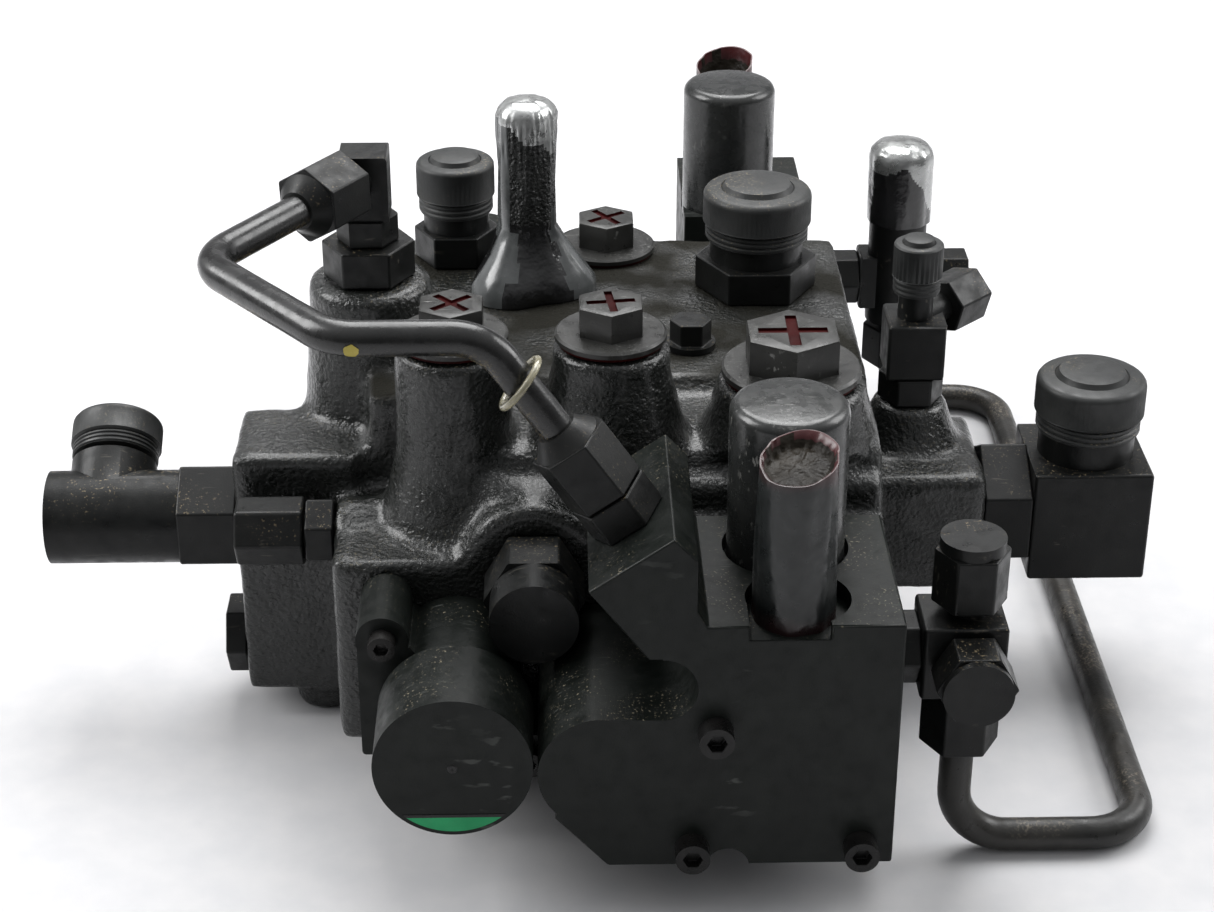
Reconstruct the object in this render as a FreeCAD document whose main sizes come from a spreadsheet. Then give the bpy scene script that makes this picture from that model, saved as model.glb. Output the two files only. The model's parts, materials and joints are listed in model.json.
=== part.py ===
"""Hydraulic multiport valve block: a cast housing with end cover blocks, plugs, capped ports,
steel pilot tubes and two sliding spools. Millimetres, +X right, +Y back, +Z up, floor at Z 0."""
import math
import os
import re

import FreeCAD
import Part
import Sketcher
from FreeCAD import Placement, Rotation, Vector

doc = FreeCAD.newDocument("MultiportValve")
sheet = doc.addObject("Spreadsheet::Sheet", "Dims")

DIMENSIONS = {
    # Cast housing and its mounting feet.
    "body_left": -118, "body_right": 150, "body_half_depth": 185, "body_bottom": 30, "deck": 186,
    "wall_left": -43, "wall_half_depth": 170, "wall_top": 168, "ledge_top": 134, "arch_radius": 36,
    "saddle_front": -158, "saddle_top": 178, "deck_front": -90, "left_wall_front": -110,
    "deck_back": 88, "left_wall_back": 50, "rear_boss_radius": 27, "deck_boss_radius": 30,
    "foot_radius": 20, "foot_spread": 130, "foot_pitch": 91.5,
    "foot_hole_radius": 5.1, "foot_hole_depth": 22,
    # Tower plugs: position, tower top and hexagon size.
    "tower_row": -135, "tower_top": 228, "tower_radius": 29, "left_tower_x": -58,
    "middle_tower_x": 18, "right_tower_x": 105.5, "right_tower_top": 208, "right_tower_radius": 37,
    "plug_flats": 30, "plug_height": 15, "plug_flange_radius": 27, "plug_flange": 5,
    "plug_thread_radius": 18, "plug_thread": 20,
    "big_plug_flats": 43, "big_plug_height": 18, "big_plug_flange_radius": 34, "big_plug_flange": 6,
    "big_plug_thread_radius": 24, "big_plug_thread": 26,
    "deck_plug_x": 20, "deck_plug_y": 71, "small_plug_x": 61, "small_plug_y": -54,
    # Elbow tower at the left, with the pilot tube.
    "elbow_tower_x": -103, "elbow_tower_y": -50, "elbow_tower_radius": 32, "elbow_tower_top": 226,
    "tube_radius": 8, "tube_bore_radius": 6, "tube_bend": 28, "tube_plane": 280,
    "tube_turn_x": -171, "tube_turn_y": -159, "tube_front_x": -105.5, "tube_front_y": -242,
    # Left block and its port.
    "left_face": -172, "left_block_front": -116, "left_block_back": -57, "left_block_bottom": 16,
    "left_block_top": 155, "left_port_y": -88, "left_port_z": 107, "left_plug_z": 36,
    # Right ear with the corner port and the right port.
    "ear_face": 214, "ear_front": -98, "ear_back": -22, "ear_bottom": 62, "ear_top": 130,
    "right_port_y": -60, "right_port_z": 95, "corner_x": 177, "corner_y": -50, "corner_top": 154,
    # Capped ports on the deck.
    "rear_left_x": -63, "rear_left_y": 66, "rear_right_x": 100, "rear_right_y": 22,
    # Spools and springs.
    "left_spool_x": -57, "left_spool_z": 84.5, "right_spool_x": 12, "right_spool_z": 80,
    "spool_radius": 14, "spool_bore_radius": 14.03, "spool_neck": 8, "spool_rod": 5,
    "spring_radius": 10, "spring_wire": 1.5, "spring_cavity": 16.5,
    # Cover blocks.
    "cover_depth": 100, "cover_right": 145.5, "cover_bottom": 29.5, "cover_top": 158.3,
    "lobe_radius": 30.5, "port_face_low_x": 4.8, "port_face_low_z": 176.8, "port_face_high_x": 42.4,
    "port_face_high_z": 203, "canister_x": 97.5, "canister_y": 213.2, "canister_radius": 27.5,
    "canister_top": 235, "adjuster_y": 261, "pocket_floor": 150, "rear_cover_left": 70,
    "rear_cover_step": 98,
    # Spring housings over the left spool.
    "cap_radius": 36.6, "cap_flange": 53,
    # Hexagonal end cap.
    "end_cap_x": -19.7, "end_cap_z": 127.5, "end_cap_flats": 42,
    # Tee at the front right and the return tube.
    "tee_x": 181, "tee_y": 237, "tee_z": 117, "return_x": 277, "return_z": 8.5,
    "relief_x": 208, "relief_z": 95,
    # Test point on the left side.
    "test_x": -119, "test_y": -136, "test_z": 125, "test_boss": 20,
    # Centre relief cartridge.
    "center_x": -23, "center_y": 24, "center_top": 293,
}


def fill_sheet():
    """Write each driving dimension into its own named cell."""
    for row, (alias, value) in enumerate(DIMENSIONS.items(), start=1):
        sheet.set(f"A{row}", alias.replace("_", " "))
        sheet.set(f"B{row}", str(value))
        sheet.setAlias(f"B{row}", alias)
    doc.recompute()


fill_sheet()

UP = Vector(0, 0, 1)
LEFT, RIGHT = Vector(-1, 0, 0), Vector(1, 0, 0)
FRONT, BACK = Vector(0, -1, 0), Vector(0, 1, 0)
FLOOR = ("0", "0", "0")
NODES = []


def cells(formula):
    """Turn a formula in dimension names into one in sheet cells."""
    return re.sub(r"[a-z][a-z_]+", lambda match: "Dims." + match.group(), str(formula))


def value(formula):
    """The number a formula in dimension names gives."""
    return sheet.evalExpression(cells(formula))


def bind(item, **sizes):
    for prop, formula in sizes.items():
        item.setExpression(prop, cells(formula))
    return item


def place(item, at, direction, roll=0):
    """Put an item at a point given by formulas, its own Z along a direction."""
    turn = Rotation(UP, direction).multiply(Rotation(UP, roll))
    item.Placement = Placement(Vector(), turn)
    for axis, formula in zip("xyz", at):
        item.setExpression(f"Placement.Base.{axis}", cells(formula))
    return item


def cylinder(radius, height, at, direction=UP):
    item = doc.addObject("Part::Cylinder", "Cylinder")
    return place(bind(item, Radius=radius, Height=height), at, direction)


def cone(low, high, height, at, direction=UP):
    item = doc.addObject("Part::Cone", "Cone")
    return place(bind(item, Radius1=low, Radius2=high, Height=height), at, direction)


def hexagon(flats, height, at, direction=UP, roll=0):
    item = doc.addObject("Part::Prism", "Hexagon")
    item.Polygon = 6
    bind(item, Circumradius=f"({flats}) / {math.sqrt(3):.6f}", Height=height)
    return place(item, at, direction, roll)


def box(length, width, height, corner):
    item = doc.addObject("Part::Box", "Box")
    return place(bind(item, Length=length, Width=width, Height=height), corner, UP)


def fuse(*items):
    item = doc.addObject("Part::MultiFuse", "Fuse")
    item.Shapes = list(items)
    item.Refine = True
    return item


def cut(base, *tools):
    item = doc.addObject("Part::Cut", "Cut")
    item.Base = base
    item.Tool = tools[0] if len(tools) == 1 else fuse(*tools)
    item.Refine = True
    return item


def group(*items):
    """Separate solids that share one node."""
    item = doc.addObject("Part::Compound", "Group")
    item.Links = list(items)
    return item


def mirrored(source):
    """The same piece on the other side of the valve's middle plane."""
    item = doc.addObject("Part::Mirroring", "Mirror")
    item.Source = source
    item.Base = Vector(0, 0, 0)
    item.Normal = BACK
    return item


def node(name, item):
    """Give an object the label that names its file."""
    item.Label = name
    NODES.append(item)
    return item


def profile(points, front, depth):
    """A straight-sided outline in X and Z, extruded backwards from a front plane."""
    sketch = doc.addObject("Sketcher::SketchObject", "Outline")
    corners = [Vector(value(x), value(z), 0) for x, z in points]
    for index, corner in enumerate(corners):
        sketch.addGeometry(Part.LineSegment(corner, corners[(index + 1) % len(corners)]), False)
    for index, (x, z) in enumerate(points):
        following = (index + 1) % len(points)
        sketch.addConstraint(Sketcher.Constraint("Coincident", index, 2, following, 1))
        for kind, formula in (("DistanceX", x), ("DistanceY", z)):
            limit = Sketcher.Constraint(kind, -1, 1, index, 1, value(formula))
            sketch.setExpression(f"Constraints[{sketch.addConstraint(limit)}]", cells(formula))
    sketch.Placement = Placement(Vector(), Rotation(RIGHT, 90))
    sketch.setExpression("Placement.Base.y", cells(front))
    item = doc.addObject("Part::Extrusion", "Plate")
    item.Base = sketch
    item.DirMode = "Custom"
    item.Dir = BACK
    item.Solid = True
    return bind(item, LengthFwd=depth)


def bent_path(points, bend):
    """Straight runs joined by tangent arcs of one bend radius."""
    edges, start = [], points[0]
    for before, corner, after in zip(points, points[1:], points[2:]):
        into, out = (corner - before).normalize(), (after - corner).normalize()
        half = into.getAngle(out) / 2
        reach = bend * math.tan(half)
        entry, leave = corner - into * reach, corner + out * reach
        inward = (out - into).normalize()
        middle = corner + inward * (bend / math.cos(half) - bend)
        edges += [Part.makeLine(start, entry), Part.Arc(entry, middle, leave).toShape()]
        start = leave
    return Part.Wire(edges + [Part.makeLine(start, points[-1])])


def pipe(points, bend, radius):
    heading = (points[1] - points[0]).normalize()
    ring = Part.Wire([Part.makeCircle(radius, points[0], heading)])
    return bent_path(points, bend).makePipeShell([ring], True, False)


def bent_tube(name, points):
    """A steel tube of constant bore along a bent path."""
    bend = value("tube_bend")
    outside, inside = pipe(points, bend, value("tube_radius")), pipe(points, bend,
                                                                    value("tube_bore_radius"))
    item = doc.addObject("Part::Feature", "Tube")
    item.Shape = outside.cut(inside)
    return node(name, item)


def spring(name, spool, start, length, turns):
    """A round-wire coil spring on a spool rod."""
    radius, wire = value("spring_radius"), value("spring_wire")
    path = Part.makeHelix(length / turns, length, radius)
    ring = Part.Wire([Part.makeCircle(wire, Vector(radius, 0, 0), BACK)])
    item = doc.addObject("Part::Feature", "Spring")
    item.Shape = Part.Wire(path).makePipeShell([ring], True, True)
    return node(name, place(item, (f"{spool}_spool_x", start, f"{spool}_spool_z"), BACK))


# Plugs: hexagon head, flange and thread in the shape of the hole they close.

def hex_plug(name, x, y, seat, size=""):
    """A flanged hexagon plug screwed down on a seat at a height."""
    top = f"{seat} + {size}plug_flange"
    return node(name, fuse(
        cylinder(f"{size}plug_thread_radius", f"{size}plug_thread", (x, y, f"{seat} - {size}plug_thread")),
        cylinder(f"{size}plug_flange_radius", f"{size}plug_flange", (x, y, seat)),
        hexagon(f"{size}plug_flats", f"{size}plug_height", (x, y, top))))


def plug_hole(x, y, seat, size=""):
    return cylinder(f"{size}plug_thread_radius", f"{size}plug_thread",
                    (x, y, f"{seat} - {size}plug_thread"))


# Housing.

TOWERS = (
    ("left_tower_x", "tower_row", "tower_radius", "tower_top"),
    ("middle_tower_x", "tower_row", "tower_radius", "tower_top"),
    ("right_tower_x", "tower_row", "right_tower_radius", "right_tower_top"),
    ("elbow_tower_x", "elbow_tower_y", "elbow_tower_radius", "elbow_tower_top"),
)
FRONT_SCREWS = (("62.2", "103"), ("52.4", "39"), ("130.3", "39"))
REAR_SCREWS = (("84", "103"), ("52.4", "39"), ("130.3", "39"))
CAP_SCREWS = (("-91", "116"), ("-23", "50"))
FEET = [(side, end) for side in ("-foot_spread", "foot_spread") for end in ("-foot_pitch", "foot_pitch")]


def housing():
    solids = [
        # End flanges reach a ledge; at the front it rises beside the cover's pocket and in an arch.
        box("body_right - body_left", "2 * body_half_depth", "ledge_top - body_bottom",
            ("body_left", "-body_half_depth", "body_bottom")),
        box("body_right - end_cap_x", "body_half_depth + tower_row", "pocket_floor - body_bottom",
            ("end_cap_x", "-body_half_depth", "body_bottom")),
        cylinder("arch_radius", "body_half_depth + tower_row",
                 ("end_cap_x", "-body_half_depth", "end_cap_z"), BACK),
        # Between the towers the wall leans back over a saddle that ends at the flat deck.
        box("body_right - wall_left", "wall_half_depth + deck_back", "wall_top - body_bottom",
            ("wall_left", "-wall_half_depth", "body_bottom")),
        box("body_right - wall_left", "deck_back - saddle_front", "saddle_top - body_bottom",
            ("wall_left", "saddle_front", "body_bottom")),
        box("body_right - wall_left", "deck_back - deck_front", "deck - body_bottom",
            ("wall_left", "deck_front", "body_bottom")),
        box("wall_left - elbow_tower_x + 10", "left_wall_back - left_wall_front", "deck - body_bottom",
            ("elbow_tower_x", "left_wall_front", "body_bottom")),
        cylinder("rear_boss_radius", "deck - body_bottom", ("rear_left_x", "rear_left_y", "body_bottom")),
        cylinder("deck_boss_radius", "deck - body_bottom", ("deck_plug_x", "deck_plug_y", "body_bottom")),
        box("body_left - left_face + 10", "left_block_back - left_block_front",
            "left_block_top - left_block_bottom", ("left_face", "left_block_front", "left_block_bottom")),
        box("ear_face - body_right + 10", "ear_back - ear_front", "ear_top - ear_bottom",
            ("body_right - 10", "ear_front", "ear_bottom")),
        cylinder("20", "corner_top - ear_bottom", ("corner_x", "corner_y", "ear_bottom")),
        cylinder("17", "test_boss", ("test_x + test_boss", "test_y", "test_z"), LEFT),
    ]
    for x, y, radius, top in TOWERS:
        solids.append(cylinder(radius, f"{top} - body_bottom", (x, y, "body_bottom")))
    for x, y in FEET:
        solids.append(cylinder("foot_radius", "body_bottom + 20", (x, y, "0")))
    holes = []
    for x, y in FEET:
        holes.append(cylinder("foot_hole_radius", "foot_hole_depth", (x, y, "0")))
    for spool in ("left", "right"):
        holes.append(cylinder("spool_bore_radius", "2 * body_half_depth",
                              (f"{spool}_spool_x", "-body_half_depth", f"{spool}_spool_z"), BACK))
    # Check valve bores below the left and middle towers, then their plug threads.
    for x in ("left_tower_x", "middle_tower_x"):
        holes.append(cylinder("13.05", "90", (x, "tower_row", "tower_top - 110")))
        holes.append(cylinder("8", "50", (x, "tower_row", "85")))
        holes.append(plug_hole(x, "tower_row", "tower_top"))
    holes.append(plug_hole("right_tower_x", "tower_row", "right_tower_top", "big_"))
    holes.append(cylinder("16", "40", ("right_tower_x", "tower_row", "right_tower_top - 66")))
    holes.append(plug_hole("deck_plug_x", "deck_plug_y", "deck"))
    holes.append(cylinder("7", "12", ("small_plug_x", "small_plug_y", "deck - 12")))
    # Ports with their passages.
    holes += [
        cylinder("15", "16", ("elbow_tower_x", "elbow_tower_y", "elbow_tower_top - 16")),
        cylinder("9", "100", ("elbow_tower_x", "elbow_tower_y", "elbow_tower_top - 116")),
        cylinder("19", "18", ("left_face", "left_port_y", "left_port_z"), RIGHT),
        cylinder("14", "90", ("left_face", "left_port_y", "left_port_z"), RIGHT),
        cylinder("13", "14", ("left_face", "left_port_y", "left_plug_z"), RIGHT),
        cylinder("24", "20", ("ear_face", "right_port_y", "right_port_z"), LEFT),
        cylinder("18", "120", ("ear_face", "right_port_y", "right_port_z"), LEFT),
        cylinder("11", "14", ("corner_x", "corner_y", "corner_top - 14")),
        cylinder("6", "40", ("corner_x", "corner_y", "corner_top - 44")),
        cylinder("17", "18", ("rear_left_x", "rear_left_y", "deck - 18")),
        cylinder("12", "86", ("rear_left_x", "rear_left_y", "deck - 90")),
        cylinder("24", "20", ("rear_right_x", "rear_right_y", "deck - 20")),
        cylinder("18", "80", ("rear_right_x", "rear_right_y", "deck - 96")),
        cylinder("14", "40", ("center_x", "center_y", "deck - 40")),
        cylinder("7", "14", ("test_x", "test_y", "test_z"), RIGHT),
        cylinder("3", "40", ("test_x", "test_y", "test_z"), RIGHT),
        cylinder("16", "22", ("end_cap_x", "-body_half_depth", "end_cap_z"), BACK),
    ]
    # Tapped holes for the cover block screws and the spring housing screws.
    for end, direction, screws in (("-body_half_depth", BACK, FRONT_SCREWS),
                                   ("body_half_depth", FRONT, REAR_SCREWS)):
        for x, z in screws:
            holes.append(cylinder("5", "20", (x, end, z), direction))
        for x, z in CAP_SCREWS:
            holes.append(cylinder("4", "16", (x, end, z), direction))
    return node("housing", cut(fuse(*solids), *holes))


# Cover blocks: machined blocks with the right spool's spring chamber and the adjuster pocket.

FRONT_OUTLINE = (
    ("13", "cover_bottom"), ("cover_right", "cover_bottom"), ("cover_right", "cover_top"),
    ("57.5", "cover_top"), ("53", "166"), ("53", "192"), ("port_face_high_x", "port_face_high_z"),
    ("port_face_low_x", "port_face_low_z"), ("31", "142"), ("right_spool_x", "110.5"),
    ("-11", "56"),
)
REAR_OUTLINE = (
    ("13", "cover_bottom"), ("cover_right", "cover_bottom"), ("cover_right", "cover_top"),
    ("rear_cover_left", "cover_top"), ("rear_cover_left", "rear_cover_step"),
    ("36", "rear_cover_step"), ("-11", "56"),
)


def cover_block(outline, port_z, screws):
    front = "-body_half_depth - cover_depth"
    plate = profile(outline, front, "cover_depth")
    lobe = cylinder("lobe_radius", "cover_depth", ("right_spool_x", front, "right_spool_z"), BACK)
    pocket = fuse(
        cylinder("24", "60", ("canister_x + 2", "-adjuster_y + 1", "pocket_floor")),
        cylinder("canister_radius + 2", "60", ("canister_x", "-canister_y", "pocket_floor")),
        box("36.5", "30", "60", ("76", f"{front} - 1", "pocket_floor + 1")))
    holes = [
        pocket,
        cylinder("spring_cavity", "cover_depth - 10",
                 ("right_spool_x", f"{front} + 10", "right_spool_z"), BACK),
        cylinder("12", "14", ("canister_x", "-canister_y", "pocket_floor - 14")),
        cylinder("8", "14", ("canister_x", "-adjuster_y", "pocket_floor - 14")),
        cylinder("9", "16", ("cover_right", "-tee_y", port_z), LEFT),
        cylinder("5", "60", ("cover_right", "-tee_y", port_z), LEFT),
        cylinder("10", "cover_depth + 2", ("69", f"{front} - 1", "28"), BACK),
    ]
    for x, z in screws:
        holes.append(cylinder("5", "cover_depth", (x, front, z), BACK))
    return cut(fuse(plate, lobe), *holes)


def port_face():
    """Middle and outward normal of the slanted port face."""
    low = Vector(value("port_face_low_x"), 0, value("port_face_low_z"))
    high = Vector(value("port_face_high_x"), 0, value("port_face_high_z"))
    middle = (low + high) / 2
    middle.y = value("tube_front_y")
    return middle, (high - low).cross(BACK).normalize()


def slanted(item, away):
    """Lay a piece along the slanted port's axis, a distance out from its face."""
    middle, normal = port_face()
    item.Placement = Placement(middle + normal * away, Rotation(UP, normal))
    return item


def free_cylinder(radius, height):
    return cylinder(radius, height, FLOOR)


def loose(item):
    """Let an item's place be set by a direction instead of by cells."""
    for axis in "xyz":
        item.setExpression(f"Placement.Base.{axis}", None)
    return item


def front_cover():
    """The front block also carries the slanted port, above a slot that clears the hexagonal cap."""
    block = cover_block(FRONT_OUTLINE, "tee_z", FRONT_SCREWS)
    front = "-body_half_depth - cover_depth - 1"
    slot = fuse(
        cylinder("16", "cover_depth + 2", ("38", front, "125.5"), BACK),
        profile((("-20", "111"), ("38", "109.5"), ("38", "142"), ("31", "142"),
                 ("port_face_low_x", "port_face_low_z")),
                front, "cover_depth + 2"))
    thread = slanted(loose(free_cylinder("9", "14")), -14)
    return node("front_cover_block", cut(block, slot, thread))


# Spring housing: a turned cap with a screw flange over one end of the left spool.

def spring_housing():
    front = "-body_half_depth - cover_depth"
    lugs = []
    for x, z in CAP_SCREWS:
        lugs.append(cylinder("12.5", "cap_flange - 12", (x, "-body_half_depth - cap_flange + 12", z), BACK))
    body = fuse(
        cylinder("cap_radius", "cover_depth - cap_flange", ("left_spool_x", front, "left_spool_z"), BACK),
        cylinder("31", "cap_flange", ("left_spool_x", "-body_half_depth - cap_flange", "left_spool_z"), BACK),
        profile((("-103", "52"), ("-57", "52"), ("-57", "84.5"), ("-78", "112"), ("-103", "112")),
                "-body_half_depth - cap_flange + 12", "cap_flange - 12"),
        profile((("-57", "56"), ("-32", "44"), ("-28", "84")),
                "-body_half_depth - cap_flange + 12", "cap_flange - 12"), *lugs)
    cavity = cylinder("spring_cavity", "cover_depth - 10",
                      ("left_spool_x", f"{front} + 10", "left_spool_z"), BACK)
    screws = [cylinder("4", "cap_flange", (x, "-body_half_depth - cap_flange", z), BACK)
              for x, z in CAP_SCREWS]
    return cut(body, cavity, *screws)


# Socket head cap screws, on the front and again on the back.

def socket_screw(x, z, seat, head, head_height, shank, length, key):
    """A socket head screw pointing backwards, its head standing in front of a seat plane."""
    return cut(
        fuse(cylinder(head, head_height, (x, f"{seat} - {head_height}", z), BACK),
             cylinder(shank, length, (x, seat, z), BACK)),
        hexagon(key, f"{head_height} / 2", (x, f"{seat} - {head_height}", z), BACK))


def screw_groups():
    front = "-body_half_depth - cover_depth"
    block, cap = [], []
    for screws, turned in ((FRONT_SCREWS, False), (REAR_SCREWS, True)):
        for x, z in screws:
            screw = socket_screw(x, z, front, "8", "10", "5", "cover_depth + 20", "8")
            block.append(mirrored(screw) if turned else screw)
    for x, z in CAP_SCREWS:
        cap.append(socket_screw(x, z, "-body_half_depth - cap_flange + 12", "6.5", "8", "4",
                                "cap_flange - 12 + 16", "6"))
    node("block_screws", group(*block))
    node("spring_housing_screws", group(*cap, *[mirrored(screw) for screw in cap]))


# Capped ports: an adapter with a threaded neck, and a ribbed cap that covers the neck.

def along(at, direction, distance):
    """Formulas for a point moved some distance along a direction."""
    return tuple(f"{start} + {part:.6f} * ({distance})" for start, part in zip(at, direction))


def adapter(x, y, z, flats, height, thread, depth, neck, neck_height, bore, direction=UP):
    """A hexagon adapter at a seat: thread into the seat, neck away from it, bored through."""
    at = (x, y, z)
    return cut(
        fuse(cylinder(thread, depth, at, direction * -1),
             hexagon(flats, height, at, direction),
             cylinder(neck, neck_height, along(at, direction, height), direction)),
        cylinder(bore, f"{depth} + {height} + {neck_height}", along(at, direction, f"-{depth}"), direction))


def port_cap(x, y, bottom, radius, height, neck, neck_depth):
    """A round cap with a raised disc on top and a blind bore that slips over a neck."""
    return cut(
        fuse(cylinder(radius, height, (x, y, bottom)),
             cylinder(f"{radius} * 0.65", f"{height} + 2.5", (x, y, bottom))),
        cylinder(f"{neck} + 0.3", neck_depth, (x, y, bottom)))


def capped_ports():
    node("rear_left_adapter", adapter("rear_left_x", "rear_left_y", "deck", "41", "18", "17", "18",
                                      "18", "30", "9"))
    node("rear_left_port_cap", port_cap("rear_left_x", "rear_left_y", "deck + 28", "21.5", "29",
                                        "18", "21"))
    node("rear_right_adapter", adapter("rear_right_x", "rear_right_y", "deck", "57", "18", "24", "20",
                                       "25", "32", "17"))
    node("rear_right_port_cap", port_cap("rear_right_x", "rear_right_y", "deck + 29", "29", "28",
                                         "25", "22"))


# Left port: adapter, forged elbow and a cap that leans back and up.

LEAN = 32
LEAN_WAY = Vector(0, math.cos(math.radians(LEAN)), math.sin(math.radians(LEAN)))
ELBOW_X = "left_face - 68"


def leaning(item, away):
    """Lay a piece along the left elbow's outlet, a distance out from the elbow's middle."""
    middle = Vector(value(ELBOW_X), value("left_port_y"), value("left_port_z"))
    loose(item).Placement = Placement(middle + LEAN_WAY * away, Rotation(UP, LEAN_WAY))
    return item


def left_port():
    node("left_adapter", adapter("left_face", "left_port_y", "left_port_z", "50", "30", "19", "18",
                                 "16", "14", "11", LEFT))
    body = fuse(
        cylinder("24", "68", ("left_face - 30", "left_port_y", "left_port_z"), LEFT),
        leaning(free_cylinder("22", "30"), 0), leaning(free_cylinder("18", "50"), 0))
    node("left_elbow", cut(
        body, cylinder("16", "14", ("left_face - 30", "left_port_y", "left_port_z"), LEFT),
        cylinder("11", "38", ("left_face - 30", "left_port_y", "left_port_z"), LEFT),
        leaning(free_cylinder("11", "60"), 0)))
    cap = cut(fuse(leaning(free_cylinder("23.5", "26"), 33), leaning(free_cylinder("16", "28.5"), 33)),
              leaning(free_cylinder("18.3", "19"), 33))
    node("left_port_cap", cap)
    node("side_gallery_plug", fuse(
        cylinder("13", "14", ("left_face", "left_port_y", "left_plug_z"), RIGHT),
        hexagon("36", "11", ("left_face", "left_port_y", "left_plug_z"), LEFT, 30)))


# Right port: adapter, square elbow and an upright cap.

def right_port():
    x, y, z = "ear_face + 56", "right_port_y", "right_port_z"
    node("right_adapter", adapter("ear_face", y, z, "60", "25", "24", "20", "20", "14", "15", RIGHT))
    body = fuse(
        box("62", "60", "62", ("ear_face + 25", f"{y} - 30", f"{z} - 31")),
        cylinder("25", "53", (x, y, z)))
    node("right_elbow", cut(
        body, cylinder("20", "14", ("ear_face + 25", y, z), RIGHT),
        cylinder("15", "46", ("ear_face + 25", y, z), RIGHT), cylinder("15", "60", (x, y, z))))
    node("right_port_cap", port_cap(x, y, f"{z} + 45", "28.5", "30", "25", "12"))


# Corner port: adapter, small elbow, its upright cap and a side nut.

CORNER_WAY = Vector(1, 1, 0).normalize()


def corner_port():
    x, y, z = "corner_x", "corner_y", "corner_top"
    node("corner_adapter", adapter(x, y, z, "30", "15", "11", "14", "7", "8", "4"))
    outlet = place(free_cylinder("8", "32"), (x, y, f"{z} + 44"), CORNER_WAY)
    body = fuse(box("30", "30", "31", (f"{x} - 15", f"{y} - 15", f"{z} + 15")),
                cylinder("9", "65", (x, y, f"{z} + 15")), outlet)
    seat = cylinder("7", "8", (x, y, f"{z} + 15"))
    node("corner_elbow", cut(body, seat, cylinder("4", "60", (x, y, f"{z} + 15"))))
    node("corner_port_cap", port_cap(x, y, f"{z} + 60", "12.8", "27", "9", "20"))
    nut = place(hexagon("27", "26", FLOOR), (f"{x} + 15.1", f"{y} + 15.1", f"{z} + 44"), CORNER_WAY)
    node("corner_side_nut", cut(nut, place(free_cylinder("8", "13"),
                                           (f"{x} + 14", f"{y} + 14", f"{z} + 44"), CORNER_WAY)))


# Test point on the left side.

def test_point():
    x, y, z = "test_x", "test_y", "test_z"
    node("test_nipple", fuse(cylinder("7", "14", (x, y, z), RIGHT),
                             hexagon("30", "14", (x, y, z), LEFT),
                             cylinder("9", "22", (x, y, z), LEFT)))
    node("test_cap_nut", cut(hexagon("30", "34", (f"{x} - 15", y, z), LEFT, 30),
                             cylinder("9", "7", (f"{x} - 15", y, z), LEFT)))


# Pilot tube with its elbow, nuts and the adapter on the slanted face.

def tube_nut():
    """A union nut that narrows onto the tube, open at the fitting's end."""
    blank = fuse(hexagon("33", "30", FLOOR), cone("16", "9.5", "8", ("0", "0", "30")))
    return cut(blank, cylinder("10.01", "13", FLOOR), cylinder("tube_radius", "60", FLOOR))


def pilot_line():
    x, y, plane = "elbow_tower_x", "elbow_tower_y", "tube_plane"
    top = "elbow_tower_top"
    node("tower_adapter", adapter(x, y, top, "41", "19", "15", "16", "11", "14", "5"))
    elbow = Vector(value(x), value(y), value(plane))
    turn = Vector(value("tube_turn_x"), value("tube_turn_y"), value(plane))
    heading = (turn - elbow).normalize()
    stem = fuse(hexagon("28", "14", (x, y, f"{top} + 19.01")),
                box("24", "24", "34", (f"{x} - 12", f"{y} - 12", f"{top} + 33")),
                place(free_cylinder("10", "30"), (x, y, plane), heading))
    node("tower_elbow", cut(stem, cylinder("11", "14", (x, y, f"{top} + 19")),
                            cylinder("5", "40", (x, y, f"{top} + 20")),
                            place(free_cylinder("5", "31"), (x, y, plane), heading)))
    middle, normal = port_face()
    nut_start, nut_length = 18, 34
    node("cover_adapter", cut(
        fuse(slanted(loose(free_cylinder("9", "14")), -14), slanted(loose(hexagon("33", "17", FLOOR)), 0),
             slanted(loose(free_cylinder("10", "30")), 0)),
        slanted(loose(free_cylinder("5", "60")), -20)))
    upper, lower = tube_nut(), tube_nut()
    upper.Placement = Placement(elbow + heading * nut_start, Rotation(UP, heading))
    lower.Placement = Placement(middle + normal * nut_start, Rotation(UP, normal))
    node("pilot_tube_nuts", group(upper, lower))
    front = Vector(value("tube_front_x"), value("tube_front_y"), value(plane))
    rise = (value(plane) - middle.z) / normal.z
    bent_tube("pilot_tube", [elbow + heading * 31, turn, front, middle + normal * rise,
                             middle + normal * 31])
    band = doc.addObject("Part::Torus", "Band")
    bind(band, Radius1="13", Radius2="1.6")
    over = middle + normal * (rise - 27)
    band.Placement = Placement(over, Rotation(UP, (normal + Vector(-0.5, 0.1, 0)).normalize()))
    node("tube_band", band)


# Tee, return tube and the relief body at its far end.

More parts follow.
